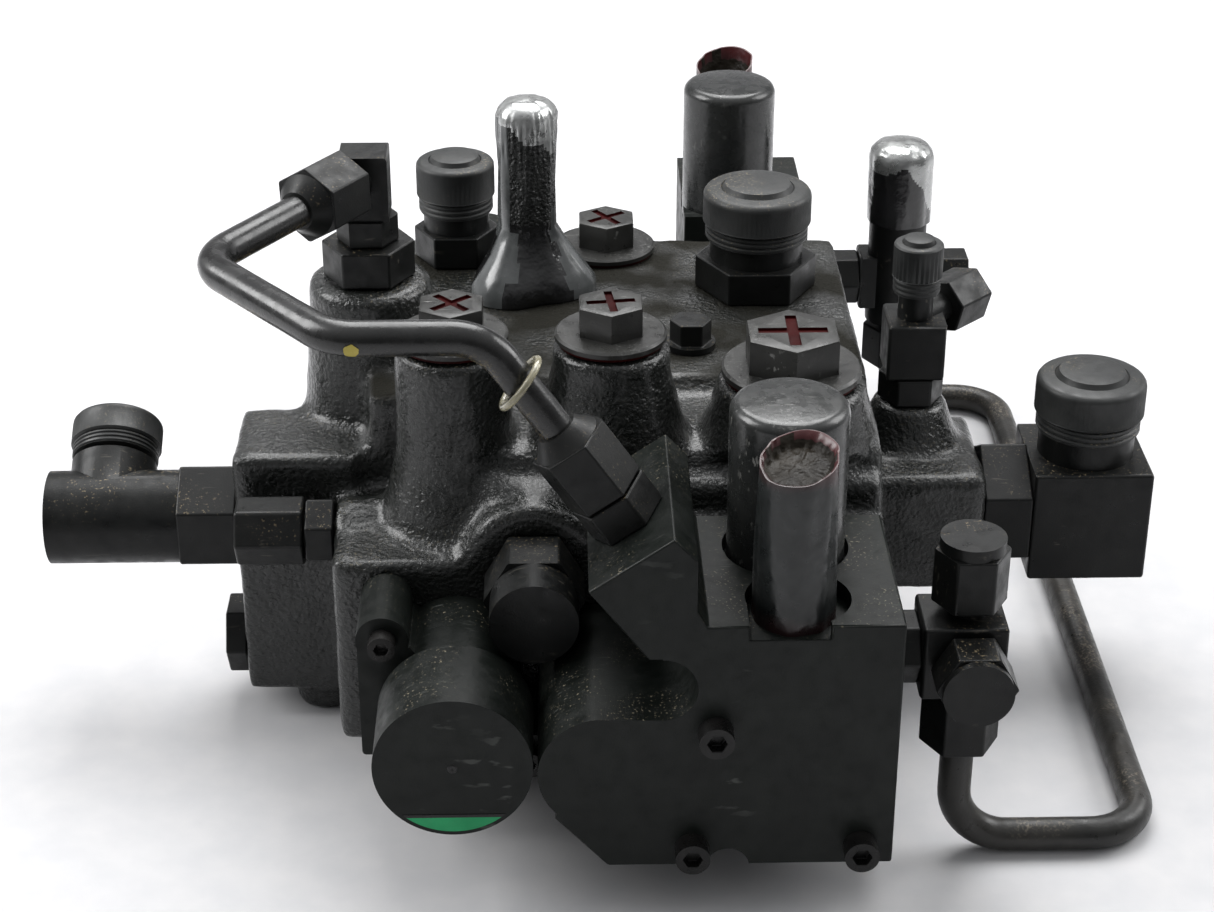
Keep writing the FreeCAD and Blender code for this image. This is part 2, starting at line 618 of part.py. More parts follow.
def return_line():
    x, z = "tee_x", "tee_z"
    y = "-tee_y"
    node("tee_adapter", cut(
        fuse(cylinder("9", "16", ("cover_right", y, z), LEFT),
             hexagon("30", "13", ("cover_right", y, z), RIGHT, 30),
             cylinder("8", "19.5", ("cover_right", y, z), RIGHT)),
        cylinder("4", "60", ("cover_right - 20", y, z), RIGHT)))
    body = fuse(box("39.5", "34", "38", (f"{x} - 22.5", f"{y} - 17", f"{z} - 19")),
                cylinder("9", "60", (x, y, f"{z} - 34")), cylinder("9", "30", (x, y, z), FRONT))
    node("tee_body", cut(body, cylinder("8", "6.5", (f"{x} - 22.5", y, z), RIGHT),
                         cylinder("4", "22", (f"{x} - 22", y, z), RIGHT),
                         cylinder("4", "70", (x, y, f"{z} - 40")), cylinder("4", "31", (x, y, z), FRONT)))
    top = cut(fuse(hexagon("31", "28", (x, y, f"{z} + 25")), cylinder("15.2", "34", (x, y, f"{z} + 25"))),
              cylinder("9", "3", (x, y, f"{z} + 25")))
    face = (x, f"{y} - 19", z)
    front = cut(fuse(hexagon("33", "20", face, FRONT), cylinder("16.3", "24", face, FRONT)),
                cylinder("9", "12", face, FRONT))
    node("tee_cap_nuts", group(top, front))
    low = cut(hexagon("33", "30", (x, y, f"{z} - 52")), cylinder("9", "12", (x, y, f"{z} - 34")),
              cylinder("tube_radius", "40", (x, y, f"{z} - 60")))
    relief = "relief_x"
    far = cut(hexagon("33", "26", (relief, "tee_y", "relief_z - 58")),
              cylinder("9", "12", (relief, "tee_y", "relief_z - 44")),
              cylinder("tube_radius", "40", (relief, "tee_y", "relief_z - 70")))
    node("return_tube_nuts", group(low, far))
    floor, reach, out = value("return_z"), value("tee_y"), value("return_x")
    bent_tube("return_tube", [
        Vector(value(x), -reach, value(z) - 34), Vector(value(x), -reach, floor),
        Vector(out, -reach, floor), Vector(out, reach, floor),
        Vector(value(relief), reach, floor), Vector(value(relief), reach, value("relief_z") - 44)])
    node("relief_adapter", cut(
        fuse(cylinder("9", "16", ("cover_right", "tee_y", "relief_z"), LEFT),
             hexagon("30", "38", ("cover_right", "tee_y", "relief_z"), RIGHT, 30),
             cylinder("8", "46", ("cover_right", "tee_y", "relief_z"), RIGHT)),
        cylinder("4", "80", ("cover_right - 20", "tee_y", "relief_z"), RIGHT)))
    node("relief_body", cut(
        fuse(cylinder("18", "110", (relief, "tee_y", "relief_z - 28")),
             cylinder("9", "50", (relief, "tee_y", "relief_z - 44")),
             box("24", "24", "34", (f"{relief} - 24.4", "tee_y - 12", "relief_z - 17")),
             cylinder("9", "30", (relief, "tee_y", "relief_z"), RIGHT)),
        cylinder("8", "10", ("cover_right + 36", "tee_y", "relief_z"), RIGHT),
        cylinder("4", "30", ("cover_right + 36", "tee_y", "relief_z"), RIGHT),
        cylinder("4", "60", (relief, "tee_y", "relief_z - 50"))))
    node("relief_end_nut", cut(hexagon("31", "26", (f"{relief} + 19", "tee_y", "relief_z"), RIGHT, 30),
                               cylinder("9", "11", (f"{relief} + 19", "tee_y", "relief_z"), RIGHT)))
    node("relief_sleeve", cut(cylinder("20.5", "52", (relief, "tee_y", "relief_z + 40")),
                              cylinder("18", "42", (relief, "tee_y", "relief_z + 40"))))


# Centre relief cartridge under a shrink sleeve.

def center_relief():
    x, y = "center_x", "center_y"
    node("center_relief", fuse(cylinder("14", "40", (x, y, "deck - 40")),
                               hexagon("41", "18", (x, y, "deck")),
                               cylinder("14", "center_top - deck - 6", (x, y, "deck"))))
    sleeve = fuse(cone("33.5", "23", "26", (x, y, "deck + 0.3")),
                  cylinder("16.5", "center_top - deck - 0.3", (x, y, "deck + 0.3")))
    node("center_relief_sleeve", cut(sleeve, hexagon("41", "18", (x, y, "deck")),
                                     cylinder("14", "center_top - deck - 6", (x, y, "deck"))))


# Adjuster group: a tall canister and a shrink-sleeved adjuster standing in the cover's pocket.

def adjuster_group(end, flip):
    x = "canister_x"
    canister = fuse(cylinder("canister_radius", "canister_top - pocket_floor",
                             (x, "-canister_y", "pocket_floor")),
                    cylinder("12", "14", (x, "-canister_y", "pocket_floor - 14")))
    adjuster = fuse(cylinder("8", "14", (x, "-adjuster_y", "pocket_floor - 14")),
                    hexagon("27", "10", (x, "-adjuster_y", "pocket_floor")),
                    cylinder("11", "70", (x, "-adjuster_y", "pocket_floor")))
    sleeve = cut(cone("19.6", "18", "canister_top - pocket_floor", (x, "-adjuster_y", "pocket_floor")),
                 hexagon("27", "10", (x, "-adjuster_y", "pocket_floor")),
                 cylinder("11", "70", (x, "-adjuster_y", "pocket_floor")),
                 cylinder("15", "6", (x, "-adjuster_y", "canister_top - 6")))
    for name, item in (("canister", canister), ("adjuster", adjuster), ("adjuster_sleeve", sleeve)):
        node(f"{end}_{name}", mirrored(item) if flip else item)


# Moving pieces inside.

def spool(name):
    """A four-land spool with a spring rod at its front end."""
    x, z = f"{name}_spool_x", f"{name}_spool_z"
    lands = [cylinder("spool_radius", "52", (x, str(start), z), BACK) for start in (-178, -86, 34, 126)]
    node(f"{name}_spool", fuse(cylinder("spool_neck", "356", (x, "-178", z), BACK),
                               cylinder("spool_rod", "84", (x, "-262", z), BACK), *lands))
    spring(f"{name}_spool_spring", name, "-272.5", 92, 8)


def check_poppet(name):
    """A check valve poppet that lifts in its bore."""
    x = f"{name}_tower_x"
    seat = "tower_top - 110"
    node(f"{name}_check_poppet", cut(
        fuse(cylinder("13", "26", (x, "tower_row", f"{seat} + 6")),
             cone("6.5", "13", "6", (x, "tower_row", seat))),
        cylinder("9", "16", (x, "tower_row", f"{seat} + 16"))))


def build():
    housing()
    front_cover()
    node("rear_cover_block", mirrored(cover_block(REAR_OUTLINE, "relief_z", REAR_SCREWS)))
    node("front_spring_housing", spring_housing())
    node("rear_spring_housing", mirrored(spring_housing()))
    screw_groups()
    hex_plug("left_tower_plug", "left_tower_x", "tower_row", "tower_top")
    hex_plug("middle_tower_plug", "middle_tower_x", "tower_row", "tower_top")
    hex_plug("right_tower_plug", "right_tower_x", "tower_row", "right_tower_top", "big_")
    hex_plug("deck_plug", "deck_plug_x", "deck_plug_y", "deck")
    node("small_gallery_plug", fuse(
        cylinder("7", "12", ("small_plug_x", "small_plug_y", "deck - 12")),
        cylinder("13", "3", ("small_plug_x", "small_plug_y", "deck")),
        hexagon("19", "12", ("small_plug_x", "small_plug_y", "deck + 3"))))
    front = "-body_half_depth"
    node("hex_end_cap", fuse(
        cylinder("16", "22", ("end_cap_x", front, "end_cap_z"), BACK),
        hexagon("end_cap_flats", "26", ("end_cap_x", front, "end_cap_z"), FRONT),
        cylinder("21", "47", ("end_cap_x", front, "end_cap_z"), FRONT)))
    pilot_line()
    capped_ports()
    left_port()
    right_port()
    corner_port()
    test_point()
    return_line()
    center_relief()
    adjuster_group("front", False)
    adjuster_group("rear", True)
    spool("left")
    spool("right")
    check_poppet("left")
    check_poppet("middle")


def export():
    """Recompute, test every object and write one STEP file per node."""
    doc.recompute()
    for item in doc.Objects:
        if "Invalid" in item.State or "Error" in item.State:
            raise RuntimeError(f"{item.Name} failed: {item.State}")
    os.makedirs("parts", exist_ok=True)
    for item in NODES:
        if item.Shape.isNull() or not item.Shape.isValid():
            raise RuntimeError(f"{item.Label} has no valid shape")
        item.Shape.exportStep(f"parts/{item.Label}.step")


build()
export()
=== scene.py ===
import json
import math

import bmesh
import bpy
from mathutils import Matrix, Vector, noise


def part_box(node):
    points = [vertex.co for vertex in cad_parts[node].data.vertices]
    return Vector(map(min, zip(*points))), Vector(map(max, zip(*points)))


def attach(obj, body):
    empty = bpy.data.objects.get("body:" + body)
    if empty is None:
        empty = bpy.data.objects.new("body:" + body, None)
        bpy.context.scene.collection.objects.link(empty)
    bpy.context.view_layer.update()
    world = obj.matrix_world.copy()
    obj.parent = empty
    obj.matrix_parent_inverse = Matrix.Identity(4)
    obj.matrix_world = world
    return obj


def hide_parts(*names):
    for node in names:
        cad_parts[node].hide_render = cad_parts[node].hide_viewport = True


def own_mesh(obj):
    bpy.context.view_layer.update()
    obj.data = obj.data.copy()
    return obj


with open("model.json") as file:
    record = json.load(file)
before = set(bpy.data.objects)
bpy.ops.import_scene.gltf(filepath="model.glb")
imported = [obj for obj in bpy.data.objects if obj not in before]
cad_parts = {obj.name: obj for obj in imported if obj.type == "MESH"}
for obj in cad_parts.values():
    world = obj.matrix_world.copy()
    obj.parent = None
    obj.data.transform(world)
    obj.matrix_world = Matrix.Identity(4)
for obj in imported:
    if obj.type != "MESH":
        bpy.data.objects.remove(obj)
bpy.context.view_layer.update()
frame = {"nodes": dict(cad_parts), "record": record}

# Viewpoint: a standing viewer in front of the bench, looking down on the valve with a long lens.
VIEW_FALL = math.radians(28.0)
VIEW_TURN = math.radians(1.2)
eye = bpy.data.cameras.new("eye")
eye.lens = 73.54
eye.sensor_width = 36
viewer = bpy.data.objects.new("viewer", eye)
gaze = Vector((math.sin(VIEW_TURN) * math.cos(VIEW_FALL), math.cos(VIEW_TURN) * math.cos(VIEW_FALL),
               -math.sin(VIEW_FALL)))
viewer.matrix_world = (Matrix.Translation((-0.00632, -1.21172, 0.73723))
                       @ gaze.to_track_quat("-Z", "Y").to_matrix().to_4x4())
bpy.context.scene.collection.objects.link(viewer)
bpy.context.scene.camera = viewer


# Bench: a sheet of pale paper that curves up behind the valve, with soft boxes over it.
# It is matt, a little uneven in tone, and lit almost to white.
def new_piece(name, shape, material, smooth=True):
    """A mesh object at the origin from a finished bmesh."""
    mesh = bpy.data.meshes.new(name)
    shape.to_mesh(mesh)
    shape.free()
    mesh.polygons.foreach_set("use_smooth", [smooth] * len(mesh.polygons))
    piece = bpy.data.objects.new(name, mesh)
    bpy.context.scene.collection.objects.link(piece)
    mesh.materials.append(material)
    return piece


def pattern(material, scale, detail, stretch=(1, 1, 1), turn=(0, 0, 0)):
    """The grey value of a noise on object coordinates, in waves per metre."""
    nodes, links = material.node_tree.nodes, material.node_tree.links
    place, mapping = nodes.new("ShaderNodeTexCoord"), nodes.new("ShaderNodeMapping")
    grain = nodes.new("ShaderNodeTexNoise")
    mapping.inputs["Scale"].default_value = stretch
    mapping.inputs["Rotation"].default_value = turn
    grain.inputs["Scale"].default_value = scale
    grain.inputs["Detail"].default_value = detail
    links.new(place.outputs["Object"], mapping.inputs["Vector"])
    links.new(mapping.outputs["Vector"], grain.inputs["Vector"])
    return grain.outputs["Fac"]


def ramp(material, source, low, high, first=(0, 0, 0), last=(1, 1, 1)):
    """A grey value turned into a colour between two limits."""
    colours = material.node_tree.nodes.new("ShaderNodeValToRGB")
    colours.color_ramp.elements[0].position = low
    colours.color_ramp.elements[1].position = high
    colours.color_ramp.elements[0].color = (*first, 1)
    colours.color_ramp.elements[1].color = (*last, 1)
    material.node_tree.links.new(source, colours.inputs["Fac"])
    return colours.outputs["Color"]


def blend_in(material, mask, base, over):
    """One colour laid over another where a mask is white."""
    mix = material.node_tree.nodes.new("ShaderNodeMix")
    mix.data_type = "RGBA"
    links = material.node_tree.links
    links.new(mask, mix.inputs["Factor"])
    links.new(base, mix.inputs["A"])
    if isinstance(over, tuple):
        mix.inputs["B"].default_value = (*over, 1)
    else:
        links.new(over, mix.inputs["B"])
    return mix.outputs["Result"]


def product(material, one, other):
    times = material.node_tree.nodes.new("ShaderNodeMath")
    times.operation = "MULTIPLY"
    material.node_tree.links.new(one, times.inputs[0])
    material.node_tree.links.new(other, times.inputs[1])
    return times.outputs["Value"]


def facing(material, downwards=False):
    """White where a surface faces up, or down."""
    nodes, links = material.node_tree.nodes, material.node_tree.links
    geometry, split = nodes.new("ShaderNodeNewGeometry"), nodes.new("ShaderNodeSeparateXYZ")
    links.new(geometry.outputs["Normal"], split.inputs["Vector"])
    way = nodes.new("ShaderNodeMapRange")
    way.inputs["From Min"].default_value = -0.1 if downwards else 0.1
    way.inputs["From Max"].default_value = -0.9 if downwards else 0.9
    links.new(split.outputs["Z"], way.inputs["Value"])
    return way.outputs["Result"]


def finish(name, colour, tone, roughness, grain, height, metallic=0.0, coat=0.0, specular=0.35,
           scuff=None, dust=None, dust_below=False, dust_amount=0.5):
    """A paint or metal: uneven tone, uneven gloss, grain in relief, scuffs and settled dust."""
    material = bpy.data.materials.new(name)
    material.use_nodes = True
    nodes, links = material.node_tree.nodes, material.node_tree.links
    shader = nodes["Principled BSDF"]
    look = ramp(material, pattern(material, 45, 5), 0.35, 0.7, colour, tone)
    if scuff:
        lines = pattern(material, 60, 3, (1, 9, 3), (0.4, 0.3, 0.7))
        patches = ramp(material, pattern(material, 30, 2), 0.52, 0.66)
        worn = product(material, ramp(material, lines, 0.63, 0.69), patches)
        look = blend_in(material, worn, look, scuff)
    if dust:
        settled = ramp(material, pattern(material, 700, 4), 0.62 - 0.2 * dust_amount, 0.72)
        settled = product(material, settled, facing(material, dust_below))
        settled = product(material, settled, ramp(material, pattern(material, 34, 3), 0.46, 0.62))
        look = blend_in(material, settled, look, dust)
    links.new(look, shader.inputs["Base Color"])
    gloss = nodes.new("ShaderNodeMapRange")
    gloss.inputs["To Min"].default_value = max(roughness - 0.1, 0.03)
    gloss.inputs["To Max"].default_value = roughness + 0.14
    gloss.inputs["From Min"].default_value = 0.3
    gloss.inputs["From Max"].default_value = 0.7
    links.new(pattern(material, 140, 4), gloss.inputs["Value"])
    links.new(gloss.outputs["Result"], shader.inputs["Roughness"])
    shader.inputs["Metallic"].default_value = metallic
    shader.inputs["Specular IOR Level"].default_value = specular
    shader.inputs["Coat Weight"].default_value = coat
    shader.inputs["Coat Roughness"].default_value = 0.18
    relief = nodes.new("ShaderNodeBump")
    relief.inputs["Strength"].default_value = 1.0
    relief.inputs["Distance"].default_value = height
    links.new(pattern(material, grain, 2.5), relief.inputs["Height"])
    links.new(relief.outputs["Normal"], shader.inputs["Normal"])
    return material


PAPER_HALF = 2.5
PAPER_RISE = 2.2
paper_finish = finish("bench_paper", (0.51, 0.51, 0.52), (0.55, 0.545, 0.55), 0.8, 900, 0.00003)
paper = bmesh.new()
bmesh.ops.create_grid(paper, x_segments=1, y_segments=1, size=PAPER_HALF)
back_edge = [edge for edge in paper.edges if all(vert.co.y > 0 for vert in edge.verts)]
lifted = bmesh.ops.extrude_edge_only(paper, edges=back_edge)["geom"]
bmesh.ops.translate(paper, vec=(0, 0, PAPER_RISE),
                    verts=[v for v in lifted if isinstance(v, bmesh.types.BMVert)])
bmesh.ops.bevel(paper, geom=back_edge, offset=0.9, segments=16, profile=0.5, affect="EDGES", material=-1)
new_piece("bench", paper, paper_finish)

sky = bpy.data.worlds.new("studio")
sky.use_nodes = True
sky_nodes, sky_links = sky.node_tree.nodes, sky.node_tree.links
sky_way, sky_split = sky_nodes.new("ShaderNodeTexCoord"), sky_nodes.new("ShaderNodeSeparateXYZ")
sky_height, sky_depth, sky_sum = (sky_nodes.new("ShaderNodeMath") for _ in range(3))
sky_links.new(sky_way.outputs["Generated"], sky_split.inputs["Vector"])
for step, source, share in ((sky_height, "Z", 0.75), (sky_depth, "Y", 0.45)):
    step.operation = "MULTIPLY"
    step.inputs[1].default_value = share
    sky_links.new(sky_split.outputs[source], step.inputs[0])
sky_links.new(sky_height.outputs["Value"], sky_sum.inputs[0])
sky_links.new(sky_depth.outputs["Value"], sky_sum.inputs[1])
sky_light = sky_nodes.new("ShaderNodeMapRange")
sky_light.inputs["From Min"].default_value = -0.25
sky_light.inputs["From Max"].default_value = 0.7
sky_light.inputs["To Min"].default_value = 0.14
sky_light.inputs["To Max"].default_value = 0.95
sky_links.new(sky_sum.outputs["Value"], sky_light.inputs["Value"])
sky_links.new(sky_light.outputs["Result"], sky_nodes["Background"].inputs["Strength"])
sky_nodes["Background"].inputs["Color"].default_value = (0.97, 0.98, 1.0, 1)
bpy.context.scene.world = sky
bpy.context.scene.view_settings.view_transform = "Standard"
for name, spot, size, power in (("left_box", (-1.5, 0.1, 1.2), 1.0, 30),
                                ("right_box", (1.5, 0.3, 1.1), 0.9, 16),
                                ("top_box", (0.1, 0.8, 1.8), 1.4, 44)):
    lamp = bpy.data.lights.new(name, "AREA")
    lamp.size = size
    lamp.energy = power
    soft_box = bpy.data.objects.new(name, lamp)
    aim = (Vector((0, 0, 0.12)) - Vector(spot)).to_track_quat("-Z", "Y").to_matrix().to_4x4()
    soft_box.matrix_world = Matrix.Translation(spot) @ aim
    bpy.context.scene.collection.objects.link(soft_box)

# Casting: one grey iron housing from a sand mould, so its towers run into the body in wide
# fillets and its skin is rough. Thick black enamel covers it and softens the grain.
CAST_GRAIN = 0.0029
SOFTENING = 9
cast_enamel = finish("cast_enamel", (0.007, 0.008, 0.007), (0.014, 0.015, 0.014), 0.27, 400, 0.0016,
                     coat=0.35, dust=(0.16, 0.14, 0.10), dust_amount=0.15)


def dirt_and_painted_shade(material, low, high, colour, roughness):
    """Matte oily dirt and painted shade on the level surfaces between two heights in metres: darker, duller
    and less shiny.
    """
    nodes, links = material.node_tree.nodes, material.node_tree.links
    shader = nodes["Principled BSDF"]
    place, split = nodes.new("ShaderNodeTexCoord"), nodes.new("ShaderNodeSeparateXYZ")
    links.new(place.outputs["Object"], split.inputs["Vector"])
    settled = facing(material, False)
    for start, end in ((low - 0.0025, low), (high + 0.0025, high)):
        band = nodes.new("ShaderNodeMapRange")
        band.inputs["From Min"].default_value = start
        band.inputs["From Max"].default_value = end
        links.new(split.outputs["Z"], band.inputs["Value"])
        settled = product(material, settled, band.outputs["Result"])
    settled = product(material, settled, ramp(material, pattern(material, 26, 4), 0.34, 0.56))
    before = shader.inputs["Base Color"].links[0].from_socket
    links.new(blend_in(material, settled, before, colour), shader.inputs["Base Color"])
    dulled = nodes.new("ShaderNodeMix")
    links.new(settled, dulled.inputs[0])
    links.new(shader.inputs["Roughness"].links[0].from_socket, dulled.inputs[2])
    dulled.inputs[3].default_value = roughness
    links.new(dulled.outputs[0], shader.inputs["Roughness"])
    shine = nodes.new("ShaderNodeMapRange")
    shine.inputs["To Min"].default_value = shader.inputs["Specular IOR Level"].default_value
    shine.inputs["To Max"].default_value = 0.06
    links.new(settled, shine.inputs["Value"])
    links.new(shine.outputs["Result"], shader.inputs["Specular IOR Level"])
    clear = nodes.new("ShaderNodeMapRange")
    clear.inputs["To Min"].default_value = shader.inputs["Coat Weight"].default_value
    clear.inputs["To Max"].default_value = 0.0
    links.new(settled, clear.inputs["Value"])
    links.new(clear.outputs["Result"], shader.inputs["Coat Weight"])


# The deck between the towers is darkened and dulled: partly oily dirt, partly painted shade for the shade the
# towers and plugs cast there.
dirt_and_painted_shade(cast_enamel, 0.1835, 0.1900, (0.013, 0.0125, 0.0098), 0.7)


def copied(node):
    """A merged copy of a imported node's mesh, with its flat areas whole again."""
    shape = bmesh.new()
    shape.from_mesh(frame["nodes"][node].data)
    bmesh.ops.remove_doubles(shape, verts=shape.verts, dist=0.000002)
    return shape


def skirt(shape, x, y, foot, top, foot_radius, radius):
    """A flared ring round the foot of a tower."""
    bmesh.ops.create_cone(shape, cap_ends=True, segments=48, radius1=foot_radius, radius2=radius,
                          depth=top - foot, matrix=Matrix.Translation((x, y, (top + foot) / 2)))


casting = copied("housing")
for x, y, foot, top, wide, slim in ((-0.058, -0.135, 0.128, 0.172, 0.040, 0.029),
                                    (0.018, -0.135, 0.178, 0.214, 0.038, 0.0292),
                                    (0.1055, -0.135, 0.178, 0.200, 0.044, 0.0372),
                                    (-0.103, -0.050, 0.150, 0.212, 0.037, 0.0318),
                                    (0.177, -0.050, 0.126, 0.150, 0.029, 0.0202),
                                    (-0.023, 0.024, 0.172, 0.1859, 0.044, 0.034),
                                    (0.020, 0.071, 0.160, 0.1861, 0.042, 0.029),
                                    (-0.063, 0.066, 0.150, 0.1858, 0.036, 0.027),
                                    (0.100, 0.022, 0.165, 0.1858, 0.046, 0.036)):
    skirt(casting, x, y, foot, top, wide, slim)
casting_piece = new_piece("casting", casting, cast_enamel)
remesh = casting_piece.modifiers.new("skin", "REMESH")
remesh.mode = "VOXEL"
remesh.voxel_size = CAST_GRAIN
skin = bpy.data.meshes.new_from_object(casting_piece.evaluated_get(bpy.context.evaluated_depsgraph_get()))
casting_piece.modifiers.clear()
soft = bmesh.new()
soft.from_mesh(skin)
for turn in range(SOFTENING):
    bmesh.ops.smooth_vert(soft, verts=soft.verts, factor=0.5,
                          use_axis_x=True, use_axis_y=True, use_axis_z=True)
for vert in soft.verts:
    swell = noise.noise(vert.co * 60) * 0.0006 + noise.noise(vert.co * 190) * 0.00022
    vert.co += vert.normal * (swell - 0.0003)
soft.to_mesh(casting_piece.data)
soft.free()
casting_piece.data.materials.clear()
casting_piece.data.materials.append(cast_enamel)
casting_piece.data.polygons.foreach_set("use_smooth", [True] * len(casting_piece.data.polygons))
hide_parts("housing")
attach(casting_piece, "valve")

# Cover blocks and fittings: sawn and milled steel, edges broken with a file, then sprayed
# satin black with the rest. The corners show as thin light lines.
milled_black = finish("milled_black", (0.004, 0.0052, 0.0044), (0.0075, 0.0092, 0.0078), 0.4, 1500, 0.00004,
                      specular=0.2, scuff=(0.045, 0.048, 0.044), dust=(0.20, 0.175, 0.125), dust_amount=0.05)
fitting_black = finish("fitting_black", (0.0045, 0.005, 0.005), (0.0085, 0.0088, 0.0082), 0.37, 1200, 0.00006,
                       specular=0.22, scuff=(0.06, 0.055, 0.045), dust=(0.20, 0.16, 0.10), dust_amount=0.08)


SLIVER = 0.00006
SHARP_DEGREES = 32
BEVEL_ROOM = 2.6
FACE_ROOM = 0.6
NO_LENGTH = 0.0000001


def smooth_by_angle(piece, degrees=35):
    """Smooth shading, with every edge sharper than the angle marked sharp."""
    shape = bmesh.new()
    shape.from_mesh(piece.data)
    for edge in shape.edges:
        edge.smooth = len(edge.link_faces) != 2 or edge.calc_face_angle(0) < math.radians(degrees)
    for face in shape.faces:
        face.smooth = True
    shape.to_mesh(piece.data)
    shape.free()


def dressed(node, material, edge=0.0007, body="valve"):
    """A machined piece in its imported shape, with its sharp edges broken."""
    shape = copied(node)
    bmesh.ops.dissolve_limit(shape, angle_limit=math.radians(1.5), verts=shape.verts, edges=shape.edges,
                             use_dissolve_boundaries=False)
    short = [e for e in shape.edges if e.calc_length() < SLIVER]
    bmesh.ops.collapse(shape, edges=short, uvs=False)
    piece = new_piece("visual_" + node, shape, material)
    smooth_by_angle(piece, SHARP_DEGREES)
    # A bevel wider than the facet beside it makes a spike, so only edges with room are broken.
    room = BEVEL_ROOM * edge
    weight = piece.data.attributes.new("bevel_weight_edge", "FLOAT", "EDGE")
    cramped = set()
    for face in piece.data.polygons:
        spans = [piece.data.vertices[v].co for v in face.vertices]
        longest = max((a - b).length for a, b in zip(spans, spans[1:] + spans[:1]))
        if longest < NO_LENGTH or face.area / longest < room * FACE_ROOM:
            cramped.update(face.edge_keys)
    tight_corners = set()
    for link in piece.data.edges:
        a, b = (piece.data.vertices[v].co for v in link.vertices)
        if (a - b).length < room and link.use_edge_sharp:
            tight_corners.update(link.vertices)
    for link in piece.data.edges:
        held = link.key in cramped or tight_corners.intersection(link.vertices)
        weight.data[link.index].value = 1.0 if link.use_edge_sharp and not held else 0.0
    broken = piece.modifiers.new("broken_edges", "BEVEL")
    broken.width = edge
    broken.segments = 2
    broken.limit_method = "WEIGHT"
    broken.harden_normals = True
    broken.use_clamp_overlap = True
    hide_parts(node)
    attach(piece, body)
    return piece


for node in ("front_cover_block", "rear_cover_block"):
    dressed(node, milled_black, 0.0011)
for node in ("left_adapter", "side_gallery_plug", "right_adapter", "corner_adapter", "corner_side_nut",
             "test_nipple", "tower_adapter", "cover_adapter", "pilot_tube_nuts", "rear_left_adapter",
             "rear_right_adapter", "tee_adapter", "tee_cap_nuts", "return_tube_nuts", "relief_adapter",
             "relief_end_nut", "hex_end_cap", "small_gallery_plug", "center_relief", "front_adjuster",
             "rear_adjuster"):
    dressed(node, fitting_black, 0.0011)
for node in ("left_elbow", "right_elbow", "corner_elbow", "tower_elbow", "tee_body", "relief_body"):
    dressed(node, fitting_black, 0.0018)
dressed("test_cap_nut", fitting_black, 0.0016, body="test_cap_nut_part")

# Screws: socket head cap screws, blackened steel, tightened over the paint with a key.
screw_black = finish("screw_black", (0.008, 0.008, 0.008), (0.02, 0.019, 0.018), 0.3, 1600, 0.00003,
                     metallic=0.4)
for node in ("block_screws", "spring_housing_screws"):
    dressed(node, screw_black, 0.0005)

# Plugs: hexagon heads on round flanges, screwed down on the towers and the deck. Each head is
# scuffed bare on top and has a cross milled in it that is filled with dark red paint.
plug_black = finish("plug_black", (0.014, 0.014, 0.013), (0.03, 0.03, 0.028), 0.34, 1100, 0.00008,
                    scuff=(0.22, 0.22, 0.21), dust=(0.13, 0.13, 0.125), dust_amount=0.3)
cross_red = finish("cross_red", (0.018, 0.001, 0.001), (0.036, 0.002, 0.002), 0.6, 1400, 0.00008,
                   specular=0.06)
CROSS_DEPTH = 0.0014


def turned(shape, points, steps=64):
    """A lathe profile of radius and height pairs, spun about the Z axis."""
    line = [shape.verts.new((radius, 0, height)) for radius, height in points]
    edges = [shape.edges.new(pair) for pair in zip(line, line[1:])]
    made = bmesh.ops.spin(shape, geom=line + edges, cent=(0, 0, 0), axis=(0, 0, 1), angle=math.tau,
                          steps=steps, use_merge=True)
    bmesh.ops.remove_doubles(shape, verts=shape.verts, dist=0.000002)
    bmesh.ops.recalc_face_normals(shape, faces=shape.faces)
    return made


def cut_by(piece, tool):
    """The piece with the tool taken out, the tool's material left on the new faces."""
    hole = piece.modifiers.new("hole", "BOOLEAN")
    hole.operation = "DIFFERENCE"
    hole.solver = "EXACT"
    hole.object = tool
    hole.use_self = True
    hole.material_mode = "TRANSFER"
    done = bpy.data.meshes.new_from_object(piece.evaluated_get(bpy.context.evaluated_depsgraph_get()))
    piece.modifiers.clear()
    piece.data = done
    bpy.data.objects.remove(tool)


